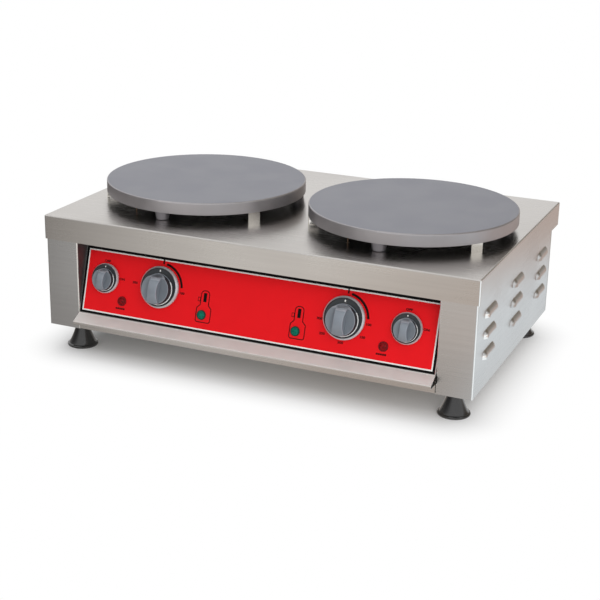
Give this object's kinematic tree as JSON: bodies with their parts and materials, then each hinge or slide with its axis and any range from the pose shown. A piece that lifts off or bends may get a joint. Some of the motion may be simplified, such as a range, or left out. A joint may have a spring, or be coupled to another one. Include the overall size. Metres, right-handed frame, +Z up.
{
  "type": "electric crepe maker",
  "caption": "Countertop electric crepe maker: round cooking plates on pegs above a folded steel body with louvred sides, a sloping control panel with knobs and lamps, and bell-shaped feet.",
  "frame": {"origin": "on the worktop, under the middle of the machine's outline", "axes": "+X to the cook's right along the machine's width, +Y to the back, +Z up"},
  "size_m": [0.877, 0.582, 0.313],
  "materials": {
    "cover_steel": "fine brushed",
    "side_steel": "fine brushed",
    "rear_steel": "mill finish",
    "base_steel": "mill finish",
    "panel_steel": "fine brushed",
    "overlay_print": "satin printed film",
    "plate_iron": "ground, seasoned",
    "peg_steel": "satin",
    "fastener_steel": "turned",
    "clip_steel": "bright strip",
    "element_sheath": "oxidised sheath",
    "shield_steel": "mill finish",
    "ceramic_wool": "pressed fibre",
    "capillary_copper": "drawn",
    "control_case": "moulded",
    "switch_case": "moulded",
    "lamp_green": "clear tinted",
    "lamp_red": "clear tinted",
    "terminal_plastic": "moulded",
    "gland_plastic": "moulded",
    "knob_grip": "satin lacquer",
    "knob_ring": "silver lacquer",
    "spindle_steel": "turned",
    "foot_plastic": "polished",
    "stud_zinc": "zinc plated"
  },
  "bodies": {
    "housing": {"top_cover": "cover_steel", "side_panel_left": "side_steel", "side_panel_right": "side_steel", "rear_panel": "rear_steel", "base_plate": "base_steel", "front_rail": "panel_steel", "control_panel": "panel_steel", "panel_overlay": "overlay_print", "crepe_plate_left": "plate_iron", "crepe_plate_right": "plate_iron", "plate_pegs_left": "peg_steel", "plate_pegs_right": "peg_steel", "plate_bolts_left": "fastener_steel", "plate_bolts_right": "fastener_steel", "plate_clips_left": "clip_steel", "plate_clips_right": "clip_steel", "heating_element_left": "element_sheath", "heating_element_right": "element_sheath", "element_clamp_left": "shield_steel", "element_clamp_right": "shield_steel", "insulation_left": "ceramic_wool", "insulation_right": "ceramic_wool", "heat_shield_left": "shield_steel", "heat_shield_right": "shield_steel", "temperature_bulb_left": "capillary_copper", "temperature_bulb_right": "capillary_copper", "thermostat_left": "control_case", "thermostat_right": "control_case", "power_switch_left": "switch_case", "power_switch_right": "switch_case", "heat_lamp_left": "lamp_green", "heat_lamp_right": "lamp_green", "power_lamp_left": "lamp_red", "power_lamp_right": "lamp_red", "terminal_block": "terminal_plastic", "cable_gland": "gland_plastic", "foot_nuts": "fastener_steel", "rear_screws": "fastener_steel", "base_screws": "fastener_steel"},
    "thermostat_knob_left": {"thermostat_grip_left": "knob_grip", "thermostat_ring_left": "knob_ring", "thermostat_spindle_left": "spindle_steel"},
    "thermostat_knob_right": {"thermostat_grip_right": "knob_grip", "thermostat_ring_right": "knob_ring", "thermostat_spindle_right": "spindle_steel"},
    "switch_knob_left": {"switch_grip_left": "knob_grip", "switch_ring_left": "knob_ring", "switch_spindle_left": "spindle_steel"},
    "switch_knob_right": {"switch_grip_right": "knob_grip", "switch_ring_right": "knob_ring", "switch_spindle_right": "spindle_steel"},
    "levelling_foot_front_left": {"foot_front_left": "foot_plastic", "stud_front_left": "stud_zinc"},
    "levelling_foot_front_right": {"foot_front_right": "foot_plastic", "stud_front_right": "stud_zinc"},
    "levelling_foot_rear_left": {"foot_rear_left": "foot_plastic", "stud_rear_left": "stud_zinc"},
    "levelling_foot_rear_right": {"foot_rear_right": "foot_plastic", "stud_rear_right": "stud_zinc"}
  },
  "joints": [
    {"name": "thermostat_turn_left", "type": "hinge", "parent": "housing", "child": "thermostat_knob_left", "pos_m": [-0.1935, -0.24636, 0.15677], "axis": [0, 0.9563, -0.2924], "range_deg": [0, 270]},
    {"name": "thermostat_turn_right", "type": "hinge", "parent": "housing", "child": "thermostat_knob_right", "pos_m": [0.1825, -0.24636, 0.15677], "axis": [0, 0.9563, -0.2924], "range_deg": [0, 270]},
    {"name": "switch_turn_left", "type": "hinge", "parent": "housing", "child": "switch_knob_left", "pos_m": [-0.3125, -0.24636, 0.15677], "axis": [0, 0.9563, -0.2924], "range_deg": [0, 90]},
    {"name": "switch_turn_right", "type": "hinge", "parent": "housing", "child": "switch_knob_right", "pos_m": [0.3015, -0.24636, 0.15677], "axis": [0, 0.9563, -0.2924], "range_deg": [0, 90]},
    {"name": "foot_front_left_out", "type": "slide", "parent": "housing", "child": "levelling_foot_front_left", "axis": [0, 0, -1], "range_m": [0, 0.01]},
    {"name": "foot_front_right_out", "type": "slide", "parent": "housing", "child": "levelling_foot_front_right", "axis": [0, 0, -1], "range_m": [0, 0.01]},
    {"name": "foot_rear_left_out", "type": "slide", "parent": "housing", "child": "levelling_foot_rear_left", "axis": [0, 0, -1], "range_m": [0, 0.01]},
    {"name": "foot_rear_right_out", "type": "slide", "parent": "housing", "child": "levelling_foot_rear_right", "axis": [0, 0, -1], "range_m": [0, 0.01]}
  ]
}
